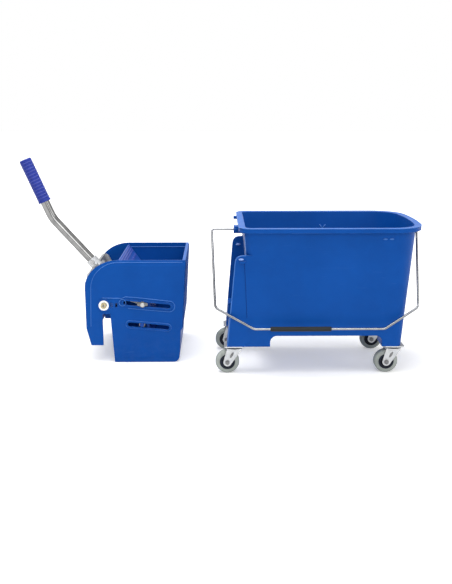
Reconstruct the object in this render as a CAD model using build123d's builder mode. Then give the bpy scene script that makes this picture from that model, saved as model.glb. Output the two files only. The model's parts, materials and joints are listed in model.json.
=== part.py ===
from build123d import *
from math import asin, cos, degrees, radians, sin, tan
import os

# Mop bucket on four castors, with a lever wringer standing beside it. Millimetres, +Z up.
# The origin is on the floor, under the middle of the whole set. +X runs along the bucket.

# Where the two halves stand
bucket_x = 236.78
bucket_y = -41.27
wringer_x = -243.22
wringer_y = 56.73

# Castors
wheel_diameter = 50.0
tyre_width = 18.0
tyre_round = 5.0
core_diameter = 32.0
core_width = 20.0
core_groove_middle = 9.6
core_groove_width = 4.8
core_groove_depth = 3.3
axle_diameter = 6.0
castor_trail = 14.0
fork_steel = 2.5
fork_side_gap = 1.2
fork_crown_gap = 2.5
fork_crown_diameter = 36.0
fork_cheek_top = 30.0
fork_eye = 8.5
axle_head = 10.0
axle_head_height = 3.0
kingpin_diameter = 9.0
kingpin_head = 14.0
kingpin_head_height = 3.0
race_diameter = 23.0
race_height = 4.0
race_chamfer = 1.3
plate_size = 42.0
plate_steel = 2.5
plate_corner = 5.0
plate_screw_pitch = 22.0
plate_screw_diameter = 4.0
plate_screw_length = 12.0
plate_screw_head = 7.0
plate_screw_rise = 2.2

# Tub
rim_height = 315.0
rim_length = 380.0
rim_width = 272.0
rim_overhang = 10.0
rim_thickness = 3.0
lip_drop = 9.0
lip_thickness = 2.6
tub_wall = 3.2
wall_taper = 5.0
straight_end_round = 16.0
round_end_round = 56.0
round_end_round_low = 12.0
round_end_bulge = 13.0
round_end_bulge_low = 5.0
round_end_taper = 5.5
leg_drop = 24.0
leg_left_length = 90.0
leg_right_length = 45.0
leg_half_gap = 54.0
arch_round = 14.0
cheek_reach = 17.0
cheek_flare = 16.5
cheek_thickness = 5.0
cheek_top_drop = 56.0
cheek_round = 16.0
ledge_length = 12.0
ledge_height = 5.0
ledge_rise = 3.0
ledge_drop = 12.0
ledge_in = 15.0
lug_reach = 7.0
lug_width = 12.0
lug_height = 6.0
lug_pitch = 146.0
foot_block_height = 54.0
castor_inset_left = 15.0
castor_inset_right = 18.0
castor_inset_y = 21.0

# Bail
bail_wire_diameter = 5.0
bail_pivot_drop = 21.0
bail_reach = 228.0
bail_shoulder = 181.0
bail_left_stand_off = 55.0
bail_right_stand_off = 6.0
bail_left_lean = 7.0
bail_right_lean = 14.0
bail_left_slope = 80.0
bail_right_slope = 73.0
bail_bend = 14.0
bail_pivot_bend = 5.0
bail_pivot_depth = 10.0
bail_boss_diameter = 18.0
bail_boss_reach = 8.0
bail_boss_set_back = 3.0
bail_grip_diameter = 10.0
bail_grip_length = 123.0
bail_grip_shift = -63.0
bail_rest_gap = 0.5

# Wringer housing, measured along X from the lever's pivot and up from the floor
hook_side_clearance = 0.9
hook_seat_clearance = 1.9
housing_height = 229.0
housing_left = 40.5
housing_right = 178.0
housing_wall = 3.5
side_wall = 4.0
pivot_height = 130.0
crown_length = 75.0
crown_height = 62.0
end_wall_slope = 3.2
end_panel_bottom = 74.0
end_panel_step = 3.0
chamber_bottom_left = 20.0
chamber_corner = 14.0
hook_gap_start = -4.0
hook_gap_top = 110.0
hook_bottom = 39.0
hook_lead = 10.0
hook_lead_height = 38.0
hook_apron = 14.0
back_wall_top = 122.0
shoulder_width = 12.0
shoulder_depth = 2.4
slot_slope = 5.2
slot_lip = 3.5
slot_lip_rise = 1.6
upper_slot_length = 103.0
upper_slot_middle = 93.5
upper_slot_height = 131.0
lower_slot_length = 91.0
lower_slot_middle = 96.0
lower_slot_height = 83.0
window_width = 5.0
window_height = 10.0
window_pitch = 9.7
window_start = 17.0
window_rise = 130.0
drain_diameter = 9.0
drain_pitch_x = 25.0
drain_pitch_y = 38.0
drain_middle = 91.0

# Press plate and what drives it
press_thickness = 5.0
press_side_gap = 3.0
press_top = 224.0
press_knee = 132.0
press_foot = 20.0
press_face = 97.0
press_flare = 65.0
press_rib = 6.0
press_rib_pitch = 60.0
press_rib_eye = 8.0
press_slot_width = 7.0
press_slot_length = 64.0
press_slot_pitch = 20.0
press_slot_count = 10
press_slot_middle = 62.0
guide_pin_diameter = 9.0
guide_pin_set_back = 13.0
guide_pin_stand_out = 3.0
guide_clip_diameter = 13.0
guide_clip_thickness = 2.0
guide_clip_wing = 23.0
guide_clip_wing_height = 6.0
drive_pin_diameter = 8.0
drive_pin_rise = 40.0
drive_pin_lean = 25.0
drive_pin_end_gap = 2.0
push_bar_steel = 4.0
push_bar_eye = 7.5
push_bar_reach = 94.0

# Lever
lever_arm_steel = 5.0
lever_arm_angle = 112.0
lever_arm_length = 66.0
lever_arm_eye = 13.0
lever_arm_tip = 12.0
lever_arm_side_gap = 4.0
lever_slot_play = 1.3
lever_slot_inner = 37.0
lever_slot_outer = 45.5
lever_slot_wall = 6.0
cross_bar_height = 22.0
cross_bar_thickness = 8.0
foot_plate_length = 56.0
foot_plate_thickness = 7.0
foot_plate_width = 60.0
foot_plate_angle = 51.0
foot_plate_shift = 15.0
socket_wall = 3.0
socket_length = 26.0
socket_floor = 6.0
lever_tube_diameter = 20.0
lever_tube_wall = 1.6
lever_tube_angle = 131.5
lever_tube_lower = 151.5
lever_tube_upper = 137.0
lever_tube_bend = 18.7
lever_tube_bend_radius = 75.0
lever_grip_diameter = 27.0
lever_grip_length = 102.0
lever_grip_cap = 5.0
lever_grip_flange = 28.6
lever_grip_flange_length = 4.0
lever_grip_round = 3.0
socket_bolt_diameter = 6.0
socket_bolt_head = 11.0
socket_bolt_head_height = 3.0
socket_bolt_up = 18.5
pivot_screw_diameter = 9.0
pivot_screw_head = 13.0
pivot_screw_head_height = 4.0
pivot_screw_slot = 1.8
pivot_screw_slot_depth = 1.4
pivot_boss_diameter = 28.0
pivot_boss_rise = 2.0
pivot_washer_diameter = 22.0
pivot_washer_thickness = 1.8
pivot_nut_size = 15.0
pivot_nut_height = 6.0

# Fits
running_clearance = 0.05
body_gap = 0.3

# Worked out from the sizes above
taper = tan(radians(wall_taper))
wheel_radius = wheel_diameter / 2
core_radius = core_diameter / 2
axle_radius = axle_diameter / 2
kingpin_radius = kingpin_diameter / 2
crown_bottom = wheel_diameter + fork_crown_gap
crown_top = crown_bottom + fork_steel
race_bottom = crown_top + body_gap
plate_bottom = race_bottom + race_height
leg_bottom = plate_bottom + plate_steel
belly = leg_bottom + leg_drop
tub_half_length = rim_length / 2 - rim_overhang
tub_half_width = rim_width / 2 - rim_overhang
cheek_top = rim_height - cheek_top_drop
foot_block_top = leg_bottom + foot_block_height


def inset_at(height):
    """How far the front, back and straight end have come in at a height."""
    return (rim_height - height) * taper


def round_end_at(height):
    """Where the round end stands at a height, from the tub's middle."""
    return tub_half_length - (rim_height - height) * tan(radians(round_end_taper))


def between(low, high, height):
    """A size that changes evenly from the legs' feet to the rim."""
    return low + (high - low) * (height - leg_bottom) / (rim_height - leg_bottom)


bucket_side = Plane((bucket_x, bucket_y, 0), x_dir=(1, 0, 0), z_dir=(0, -1, 0))


def bucket_plane(height):
    return Plane((bucket_x, bucket_y, height))


def tub_section(height, inset):
    """Plan of the tub at a height: one straight end, one bowed and rounded end."""
    drawn_in = inset_at(height) + inset
    left = drawn_in - tub_half_length
    right = round_end_at(height) - inset
    half_width = tub_half_width - drawn_in
    bulge = between(round_end_bulge_low, round_end_bulge, height)
    with BuildSketch(bucket_plane(height)) as section:
        with BuildLine():
            sides = Polyline(
                (right - bulge, -half_width),
                (left, -half_width),
                (left, half_width),
                (right - bulge, half_width),
            )
            ThreePointArc(sides @ 1, (right, 0), sides @ 0)
        make_face()
        fillet(section.vertices().group_by(Axis.X)[0], straight_end_round - inset)
        round_end = section.vertices().group_by(Axis.X)[-1]
        fillet(round_end, between(round_end_round_low, round_end_round, height) - inset)
    return section.sketch


def box_section(height, left, right, half_width):
    """A rectangle in the tub's plan, from left to right and as wide both ways."""
    with BuildSketch(bucket_plane(height)) as section:
        with Locations(((left + right) / 2, 0)):
            Rectangle(right - left, 2 * half_width)
    return section.sketch


# Cheeks: the front and back walls run on past the straight end and stand on the legs
cheek_left_top = -tub_half_length - cheek_reach
cheek_left_bottom = cheek_left_top - cheek_flare
leg_left_end = cheek_left_bottom + leg_left_length
with BuildPart() as cheeks:
    loft(
        sections=[
            box_section(z, cheek_left_bottom, leg_left_end, tub_half_width - inset_at(z))
            for z in (leg_bottom, rim_height)
        ],
        ruled=True,
    )
    with BuildSketch(bucket_side) as cheek_side:
        with BuildLine():
            Polyline(
                (cheek_left_top, cheek_top),
                (cheek_left_bottom, leg_bottom),
                (leg_left_end, leg_bottom),
                (leg_left_end, cheek_top),
                close=True,
            )
        make_face()
        fillet(cheek_side.vertices().group_by(Axis.Y)[-1].sort_by(Axis.X)[0], cheek_round)
    extrude(amount=rim_width, both=True, mode=Mode.INTERSECT)
    loft(
        sections=[
            box_section(z, cheek_left_bottom, leg_left_end, tub_half_width - inset_at(z) - cheek_thickness)
            for z in (foot_block_top, rim_height)
        ],
        ruled=True,
        mode=Mode.SUBTRACT,
    )
    with Locations((bucket_x + cheek_left_bottom, bucket_y, leg_bottom)):
        Box(
            2 * leg_left_length,
            2 * leg_half_gap,
            2 * foot_block_height,
            mode=Mode.SUBTRACT,
        )

    ledge_top = cheek_top - ledge_drop
    ledge_face = tub_half_width - inset_at(ledge_top)
    for side in (-ledge_face, ledge_face):
        with Locations((bucket_x + cheek_left_top + ledge_in, bucket_y + side, ledge_top)):
            Box(ledge_length, 2 * ledge_rise, ledge_height, align=(Align.CENTER, Align.CENTER, Align.MAX))

# Rim: a flat flange turned down into a lip
with BuildPart() as rim:
    extrude(tub_section(rim_height, -rim_overhang), amount=-lip_drop)
    extrude(
        tub_section(rim_height, lip_thickness - rim_overhang).moved(Location((0, 0, -rim_thickness))),
        amount=rim_thickness - lip_drop,
        mode=Mode.SUBTRACT,
    )
    extrude(tub_section(rim_height, tub_wall), amount=-lip_drop, mode=Mode.SUBTRACT)
    with Locations((bucket_x - rim_length / 2, bucket_y, rim_height - rim_thickness)):
        with GridLocations(0, lug_pitch, 1, 2):
            Box(2 * lug_reach, lug_width, lug_height, align=(Align.CENTER, Align.CENTER, Align.MAX))

# Tub: tapered shell, cheeks, four legs under an arched belly, rolled rim and bail bosses
bail_pivot = rim_height - bail_pivot_drop
bail_radius = bail_wire_diameter / 2
bail_left_boss = -rim_length / 2 - bail_boss_reach
bail_right_boss = rim_length / 2 - bail_boss_set_back
leg_right_start = round_end_at(leg_bottom) - leg_right_length
with BuildPart() as tub:
    loft(sections=[tub_section(leg_bottom, 0), tub_section(rim_height, 0)], ruled=True)
    add(cheeks.part)
    for boss_end, inward in ((bail_left_boss, 1), (bail_right_boss, -1)):
        with BuildSketch(Plane((bucket_x + boss_end, bucket_y, bail_pivot), z_dir=(inward, 0, 0))):
            Circle(bail_boss_diameter / 2)
        extrude(amount=rim_overhang + bail_boss_reach + inset_at(bail_pivot) + tub_wall)
    loft(
        sections=[tub_section(belly + tub_wall, tub_wall), tub_section(rim_height, tub_wall)],
        ruled=True,
        mode=Mode.SUBTRACT,
    )
    with BuildSketch(bucket_side) as arch:
        with BuildLine():
            Polyline(
                (leg_left_end, leg_bottom - leg_drop),
                (leg_left_end, belly),
                (leg_right_start, belly),
                (leg_right_start, leg_bottom - leg_drop),
                close=True,
            )
        make_face()
        fillet(arch.vertices().group_by(Axis.Y)[-1], arch_round)
    extrude(amount=rim_width, both=True, mode=Mode.SUBTRACT)
    with Locations((bucket_x, bucket_y, leg_bottom)):
        Box(2 * rim_length, 2 * leg_half_gap, 2 * leg_drop, mode=Mode.SUBTRACT)
    add(rim.part)
    for boss_end, inward in ((bail_left_boss, 1), (bail_right_boss, -1)):
        with BuildSketch(Plane((bucket_x + boss_end, bucket_y, bail_pivot), z_dir=(inward, 0, 0))):
            Circle(bail_radius + running_clearance)
        extrude(amount=bail_pivot_depth + body_gap, mode=Mode.SUBTRACT)

# Bail: a bent wire that leans on the front cheek, turning in the two bosses
bail_left = bail_left_boss - bail_left_stand_off + bail_boss_reach
bail_right = rim_length / 2 + bail_right_stand_off
bail_fall = (bail_reach - bail_shoulder) / bail_left_slope
bail_touch = bail_shoulder + (cheek_left_bottom - bail_left - bail_left_lean) * bail_fall
wall_at_pivot = tub_half_width - inset_at(bail_pivot)
bail_stand_off = wall_at_pivot * cos(radians(wall_taper)) + bail_radius + bail_rest_gap
bail_lean = degrees(asin(bail_stand_off / bail_touch)) - wall_taper
bail_plane = Plane(
    (bucket_x, bucket_y, bail_pivot),
    x_dir=(1, 0, 0),
    z_dir=(0, -cos(radians(bail_lean)), sin(radians(bail_lean))),
)
with BuildPart() as bail_wire:
    with BuildLine(bail_plane) as bail_path:
        FilletPolyline(
            (bail_left_boss + bail_pivot_depth, 0),
            (bail_left, 0),
            (bail_left + bail_left_lean, -bail_shoulder),
            (bail_left + bail_left_lean + bail_left_slope, -bail_reach),
            (bail_right - bail_right_lean - bail_right_slope, -bail_reach),
            (bail_right - bail_right_lean, -bail_shoulder),
            (bail_right, 0),
            (bail_right_boss - bail_pivot_depth, 0),
            radius=(bail_pivot_bend, *[bail_bend] * 4, bail_pivot_bend),
        )
    with BuildSketch(Plane(bail_path.line ^ 0)):
        Circle(bail_radius)
    sweep()

bail_grip_radius = bail_grip_diameter / 2
with BuildPart() as bail_grip:
    sleeve_place = bail_plane.from_local_coords((bail_grip_shift, -bail_reach, 0))
    with BuildSketch(Plane(sleeve_place, z_dir=(1, 0, 0))):
        Circle(bail_grip_radius)
        Circle(bail_radius + running_clearance, mode=Mode.SUBTRACT)
    extrude(amount=bail_grip_length / 2, both=True)
    fillet(bail_grip.edges().filter_by(GeomType.CIRCLE).group_by(SortBy.RADIUS)[-1], bail_radius / 2)

# Castors: each is built at its own kingpin, and trails towards the straight end
castor_left = bucket_x + cheek_left_bottom + castor_inset_left
castor_right = bucket_x + round_end_at(leg_bottom) - castor_inset_right
castor_reach_y = tub_half_width - inset_at(leg_bottom) - castor_inset_y
castor_places = {
    "front_left": (castor_left, bucket_y - castor_reach_y),
    "front_right": (castor_right, bucket_y - castor_reach_y),
    "back_left": (castor_left, bucket_y + castor_reach_y),
    "back_right": (castor_right, bucket_y + castor_reach_y),
}
fork_inside = core_width / 2 + fork_side_gap
fork_outside = fork_inside + fork_steel
kingpin_end = crown_bottom - kingpin_head_height


def castor_plate(x, y):
    """Square plate with its race and the kingpin that the fork turns on."""
    with BuildPart() as plate:
        with BuildSketch(Plane((x, y, plate_bottom))):
            RectangleRounded(plate_size, plate_size, plate_corner)
            with GridLocations(plate_screw_pitch, plate_screw_pitch, 2, 2):
                Circle(plate_screw_diameter / 2, mode=Mode.SUBTRACT)
        extrude(amount=plate_steel)
        with BuildSketch(Plane((x, y, race_bottom))):
            Circle(race_diameter / 2)
        extrude(amount=race_height)
        chamfer(plate.faces().sort_by(Axis.Z)[0].edges(), race_chamfer)
        with BuildSketch(Plane((x, y, race_bottom))):
            Circle(kingpin_radius)
        extrude(amount=kingpin_end - race_bottom)
        with BuildSketch(Plane((x, y, kingpin_end))):
            Circle(kingpin_head / 2)
        extrude(amount=kingpin_head_height - body_gap)
    return plate.part


def castor_screws(x, y):
    """Round-head screws up through the plate into the leg."""
    with BuildPart() as screws:
        with BuildSketch(Plane((x, y, plate_bottom))):
            with GridLocations(plate_screw_pitch, plate_screw_pitch, 2, 2):
                Circle(plate_screw_diameter / 2)
        extrude(amount=plate_screw_length)
        with BuildSketch(Plane((x, y, plate_bottom))):
            with GridLocations(plate_screw_pitch, plate_screw_pitch, 2, 2):
                Circle(plate_screw_head / 2)
        extrude(amount=-plate_screw_rise)
        chamfer(screws.faces().group_by(Axis.Z)[0].edges(), plate_screw_rise / 2)
    return screws.part


def castor_fork(x, y):
    """Crown over the wheel and two cheeks that narrow to the axle."""
    with BuildPart() as fork:
        with BuildSketch(Plane((x, y, crown_bottom))):
            Circle(fork_crown_diameter / 2)
            Rectangle(fork_cheek_top, 2 * fork_outside)
        extrude(amount=fork_steel)
        for face in (y + fork_outside, y - fork_inside):
            with BuildSketch(Plane((x, face, 0), x_dir=(1, 0, 0), z_dir=(0, -1, 0))):
                with Locations((0, crown_bottom)):
                    Rectangle(fork_cheek_top, fork_steel, align=(Align.CENTER, Align.MIN))
                with Locations((-castor_trail, wheel_radius)):
                    Circle(fork_eye)
                make_hull()
                with Locations((-castor_trail, wheel_radius)):
                    Circle(axle_radius, mode=Mode.SUBTRACT)
            extrude(amount=fork_steel)
        with BuildSketch(Plane((x, y, crown_bottom))):
            Circle(kingpin_radius + running_clearance)
        extrude(amount=fork_steel, mode=Mode.SUBTRACT)
    return fork.part


def castor_axle(x, y):
    """Hex-head bolt through both cheeks, as long as the nut needs."""
    with BuildPart() as axle:
        with BuildSketch(Plane((x - castor_trail, y - fork_outside, wheel_radius), z_dir=(0, 1, 0))):
            Circle(axle_radius)
        extrude(amount=2 * fork_outside + axle_head_height)
        with BuildSketch(Plane((x - castor_trail, y - fork_outside, wheel_radius), z_dir=(0, -1, 0))):
            RegularPolygon(axle_head / 2, 6)
        extrude(amount=axle_head_height)
    return axle.part


def castor_nut(x, y):
    with BuildPart() as nut:
        with BuildSketch(Plane((x - castor_trail, y + fork_outside, wheel_radius), z_dir=(0, 1, 0))):
            RegularPolygon(axle_head / 2, 6)
            Circle(axle_radius, mode=Mode.SUBTRACT)
        extrude(amount=axle_head_height)
    return nut.part


def wheel_core(x, y):
    """Moulded wheel centre: a hub and a rim joined by a thinner web."""
    with BuildPart() as core:
        with BuildSketch(Plane((x - castor_trail, y, wheel_radius), x_dir=(1, 0, 0), z_dir=(0, 0, 1))):
            with Locations((core_radius / 2, 0)):
                Rectangle(core_radius, core_width)
            for side in (-1, 1):
                with Locations((core_groove_middle, side * core_width / 2)):
                    Rectangle(core_groove_width, 2 * core_groove_depth, mode=Mode.SUBTRACT)
            Rectangle(2 * (axle_radius + running_clearance), core_width, mode=Mode.SUBTRACT)
        revolve(axis=Axis((x - castor_trail, y, wheel_radius), (0, 1, 0)))
    return core.part


def wheel_tyre(x, y):
    """Grey tyre with rounded shoulders, moulded round the core."""
    with BuildPart() as tyre:
        with BuildSketch(Plane((x - castor_trail, y, wheel_radius))) as band:
            with Locations(((core_radius + wheel_radius) / 2, 0)):
                Rectangle(wheel_radius - core_radius, tyre_width)
            fillet(band.vertices().group_by(Axis.X)[-1], tyre_round)
        revolve(axis=Axis((x - castor_trail, y, wheel_radius), (0, 1, 0)))
    return tyre.part


castor_makers = {
    "castor_plate": castor_plate,
    "castor_screws": castor_screws,
    "castor_fork": castor_fork,
    "axle_bolt": castor_axle,
    "axle_nut": castor_nut,
    "wheel_core": wheel_core,
    "wheel_tyre": wheel_tyre,
}

# Wringer: every side view below is drawn along X from the lever's pivot
hook_depth = hook_gap_top - hook_bottom
housing_half = (
    tub_half_width - inset_at(rim_height - hook_depth) - cheek_thickness - hook_side_clearance
)
housing_inside = housing_half - side_wall
end_lean = tan(radians(end_wall_slope))
hook_gap_end = hook_gap_start + rim_overhang + tub_wall + 2 * hook_seat_clearance
crown_middle = (crown_length - housing_left, housing_height - crown_height)
slot_fall = tan(radians(slot_slope))
slot_width = guide_pin_diameter + 2 * body_gap
guide_slots = (
    (upper_slot_middle, upper_slot_height, upper_slot_length),
    (lower_slot_middle, lower_slot_height, lower_slot_length),
)
pivot_point = (0, pivot_height)
drive_pin_point = (-drive_pin_rise * tan(radians(drive_pin_lean)), pivot_height + drive_pin_rise)


def wringer_side(reach=0.0):
    """Upright plane across the wringer, facing the front, at a reach behind its middle."""
    return Plane((wringer_x, wringer_y + reach, 0), x_dir=(1, 0, 0), z_dir=(0, -1, 0))


def end_wall_at(height):
    """Outer face of the end wall at a height."""
    return housing_right - (housing_height - height) * end_lean


def press_face_at(height):
    """Middle of the press plate below its knee, which hangs at the end wall's slope."""
    return press_face - (press_knee - height) * end_lean


def guide_pin_point(middle, height, length):
    """Where a guide pin rests in its slot, behind the press plate."""
    x = press_face_at(height) - guide_pin_set_back
    return (x, height + (middle - x) * slot_fall)


def from_pivot(reach, angle):
    """Point at a reach from the lever's pivot, at an angle from +X towards +Z."""
    return (reach * cos(radians(angle)), pivot_height + reach * sin(radians(angle)))


# Housing: chamber, hook over the bucket's end, curved sides and slots for the guide pins
with BuildPart() as housing:
    with BuildSketch(wringer_side()) as outline:
        with BuildLine():
            EllipticalCenterArc(crown_middle, crown_length, crown_height, start_angle=90, arc_size=90)
            Polyline(
                (-housing_left, crown_middle[1]),
                (-housing_left, hook_bottom + hook_lead_height),
                (hook_lead - housing_left, hook_bottom),
                (hook_gap_start, hook_bottom),
                (hook_gap_start, hook_gap_top),
                (hook_gap_end, hook_gap_top),
                (chamber_bottom_left, 0),
                (end_wall_at(0) - end_panel_step, 0),
                (end_wall_at(end_panel_bottom) - end_panel_step, end_panel_bottom),
                (end_wall_at(end_panel_bottom), end_panel_bottom),
                (housing_right, housing_height),
                (crown_middle[0], housing_height),
            )
        make_face()
        fillet(outline.vertices().group_by(Axis.Y)[0].sort_by(Axis.X)[-1], chamber_corner)
    extrude(amount=housing_half, both=True)
    for side in (0, -1):
        face = housing.faces().sort_by(Axis.Y)[side]
        curved = face.edges().filter_by(GeomType.ELLIPSE)
        straight = face.edges().group_by(Axis.X)[0] + face.edges().group_by(Axis.Z)[-1]
        chamfer(curved + straight, shoulder_width, shoulder_depth, reference=face)
    with BuildSketch(wringer_side()) as chamber:
        with BuildLine():
            Polyline(
                (chamber_bottom_left + housing_wall, housing_wall),
                (hook_gap_end + housing_wall, hook_gap_top + housing_wall),
                (housing_wall - housing_left, hook_gap_top + housing_wall),
                (housing_wall - housing_left, back_wall_top),
                (-2 * housing_left, back_wall_top),
                (-2 * housing_left, 2 * housing_height),
                (end_wall_at(2 * housing_height) - housing_wall - end_panel_step, 2 * housing_height),
                (end_wall_at(housing_wall) - housing_wall - end_panel_step, housing_wall),
                close=True,
            )
        make_face()
        fillet(chamber.vertices().group_by(Axis.Y)[0].sort_by(Axis.X)[-1], chamber_corner - housing_wall)
    extrude(amount=housing_inside, both=True, mode=Mode.SUBTRACT)
    with BuildSketch(wringer_side()):
        with BuildLine():
            Polyline(
                (housing_wall - housing_left, hook_gap_top),
                (housing_wall - housing_left, hook_bottom + hook_lead_height),
                (housing_wall - housing_left + hook_lead, hook_bottom),
                (hook_gap_start - housing_wall, hook_bottom),
                (hook_gap_start - housing_wall, hook_gap_top),
                close=True,
            )
        make_face()
    extrude(amount=housing_inside, both=True, mode=Mode.SUBTRACT)
    with Locations((wringer_x + hook_gap_start, wringer_y, hook_bottom)):
        Box(
            housing_left,
            2 * housing_inside,
            hook_depth - hook_apron,
            align=(Align.MAX, Align.CENTER, Align.MIN),
            mode=Mode.SUBTRACT,
        )
        with GridLocations(0, lug_pitch, 1, 2):
            Box(
                lug_reach + hook_seat_clearance,
                lug_width + 2 * hook_side_clearance,
                hook_depth,
                align=(Align.MAX, Align.CENTER, Align.MIN),
                mode=Mode.SUBTRACT,
            )
    for outward in (-1, 1):
        with BuildSketch(wringer_side(-outward * housing_half)):
            for middle, height, length in guide_slots:
                with Locations((middle, height)):
                    SlotOverall(length + 2 * slot_lip, slot_width + 2 * slot_lip, rotation=-slot_slope)
        extrude(amount=outward * slot_lip_rise)
        with BuildSketch(wringer_side(-outward * housing_half)):
            with Locations(pivot_point):
                Circle(pivot_boss_diameter / 2)
        extrude(amount=outward * pivot_boss_rise)
    with BuildSketch(wringer_side()):
        for middle, height, length in guide_slots:
            with Locations((middle, height)):
                SlotOverall(length, slot_width, rotation=-slot_slope)
        with Locations(pivot_point):
            Circle(pivot_screw_diameter / 2)
        with Locations((window_start, window_rise), (window_start + window_pitch, window_rise)):
            Rectangle(window_width, window_height)
    extrude(amount=2 * housing_half, both=True, mode=Mode.SUBTRACT)
    with BuildSketch(Plane((wringer_x + drain_middle, wringer_y, 0))):
        with GridLocations(drain_pitch_x, drain_pitch_y, 5, 5):
            Circle(drain_diameter / 2)
    extrude(amount=housing_wall, mode=Mode.SUBTRACT)

# Press plate: flared top, slots for the water, and ribs behind it that carry two guide pins
guide_pin_points = [guide_pin_point(*slot) for slot in guide_slots]
guide_pin_radius = guide_pin_diameter / 2
guide_clip_inside = housing_half + slot_lip_rise + body_gap
guide_ring_inside = housing_inside - body_gap - guide_clip_thickness
guide_pin_reach = guide_clip_inside + guide_clip_thickness + guide_pin_stand_out
with BuildPart() as press_plate:
    with BuildSketch(wringer_side()):
        with BuildLine():
            Polyline(
                (press_face - press_flare, press_top),
                (press_face, press_knee),
                (press_face_at(press_foot), press_foot),
            )
        trace(line_width=press_thickness)
    extrude(amount=housing_inside - press_side_gap, both=True)
    with BuildSketch(Plane((wringer_x, wringer_y, 0), x_dir=(0, 1, 0), z_dir=(1, 0, 0))):
        with Locations((0, press_slot_middle)):
            with GridLocations(press_slot_pitch, 0, press_slot_count, 1):
                SlotOverall(press_slot_length, press_slot_width, rotation=90)
    extrude(amount=housing_right, mode=Mode.SUBTRACT)
    for reach in (-press_rib_pitch, 0, press_rib_pitch):
        with BuildSketch(wringer_side(reach)):
            for x, z in guide_pin_points:
                with Locations((x, z)):
                    Circle(press_rib_eye)
                with Locations((x + guide_pin_set_back, z)):
                    Circle(press_thickness / 2)
            make_hull()
        extrude(amount=press_rib / 2, both=True)
    with BuildSketch(wringer_side()):
        with Locations(*guide_pin_points):
            Circle(guide_pin_radius)
    extrude(amount=press_rib_pitch + press_rib, both=True, mode=Mode.SUBTRACT)


def guide_pin(point, reach):
    """Round bar right across the wringer, into the slots of both its sides."""
    with BuildPart() as pin:
        with BuildSketch(wringer_side()):
            with Locations(point):
                Circle(guide_pin_radius)
        extrude(amount=reach, both=True)
    return pin.part


def guide_clips(point, inside, wing):
    """Clips near both ends of a guide pin, each with two ears that reach across a wing's length."""
    with BuildPart() as clips:
        for reach in (-inside, inside + guide_clip_thickness):
            with BuildSketch(wringer_side(reach)):
                with Locations(point):
                    Circle(guide_clip_diameter / 2)
                    SlotOverall(wing, guide_clip_wing_height)
                    Circle(guide_pin_radius, mode=Mode.SUBTRACT)
            extrude(amount=guide_clip_thickness)
    return clips.part


def push_bar(reach):
    """Flat bar from the upper guide pin to the drive pin."""
    with BuildPart() as bar:
        with BuildSketch(wringer_side(reach)):
            with Locations(guide_pin_points[0], drive_pin_point):
                Circle(push_bar_eye)
            make_hull()
            with Locations(guide_pin_points[0]):
                Circle(guide_pin_radius, mode=Mode.SUBTRACT)
            with Locations(drive_pin_point):
                Circle(drive_pin_diameter / 2, mode=Mode.SUBTRACT)
        extrude(amount=push_bar_steel)
    return bar.part


with BuildPart() as drive_pin:
    with BuildSketch(wringer_side()):
        with Locations(drive_pin_point):
            Circle(drive_pin_diameter / 2)
    extrude(amount=housing_inside - drive_pin_end_gap, both=True)

# Lever: two slotted arms, a cross bar with a socket, a bent tube and its grip
lever_tip = from_pivot(lever_arm_length, lever_arm_angle)
lever_arm_outside = housing_inside - lever_arm_side_gap
lever_arm_inside = lever_arm_outside - lever_arm_steel
lever_slot_width = drive_pin_diameter + 2 * lever_slot_play
lever_slot_angle = 90 + drive_pin_lean
lever_slot_ends = [from_pivot(reach, lever_slot_angle) for reach in (lever_slot_inner, lever_slot_outer)]


def lever_arm(reach):
    """Plate arm that turns on a pivot screw and drives the pin with its slot."""
    with BuildPart() as arm:
        with BuildSketch(wringer_side(reach)):
            with Locations(pivot_point):
                Circle(lever_arm_eye)
            with Locations(*lever_slot_ends):
                Circle(lever_slot_width / 2 + lever_slot_wall)
            with Locations(lever_tip):
                Circle(lever_arm_tip)
            make_hull()
            with Locations(pivot_point):
                Circle(pivot_screw_diameter / 2 + running_clearance, mode=Mode.SUBTRACT)
        extrude(amount=lever_arm_steel)
        with BuildSketch(wringer_side(reach)):
            with Locations(*lever_slot_ends):
                Circle(lever_slot_width / 2)
            make_hull()
        extrude(amount=lever_arm_steel, mode=Mode.SUBTRACT)
    return arm.part


def up_lever(along):
    """Point in the side view at a distance up the lower tube from the cross bar."""
    lean = radians(lever_tube_angle)
    return (lever_tip[0] + along * cos(lean), lever_tip[1] + along * sin(lean))


def lever_plane(along):
    """Plane square to the lower tube, at a distance up it from the cross bar."""
    lean = radians(lever_tube_angle)
    x, z = up_lever(along)
    return Plane((wringer_x + x, wringer_y, z), x_dir=(0, 1, 0), z_dir=(cos(lean), 0, sin(lean)))


lever_tube_radius = lever_tube_diameter / 2
socket_radius = lever_tube_radius + socket_wall
bolt_point = up_lever(socket_bolt_up)
with BuildPart() as socket_bolt:
    with BuildSketch(wringer_side()):
        with Locations(bolt_point):
            Circle(socket_bolt_diameter / 2)
    extrude(amount=socket_radius + socket_bolt_head_height, both=True)
    for reach in (-socket_radius, socket_radius + socket_bolt_head_height):
        with BuildSketch(wringer_side(reach)):
            with Locations(bolt_point):
                RegularPolygon(socket_bolt_head / 2, 6)
        extrude(amount=socket_bolt_head_height)

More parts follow.
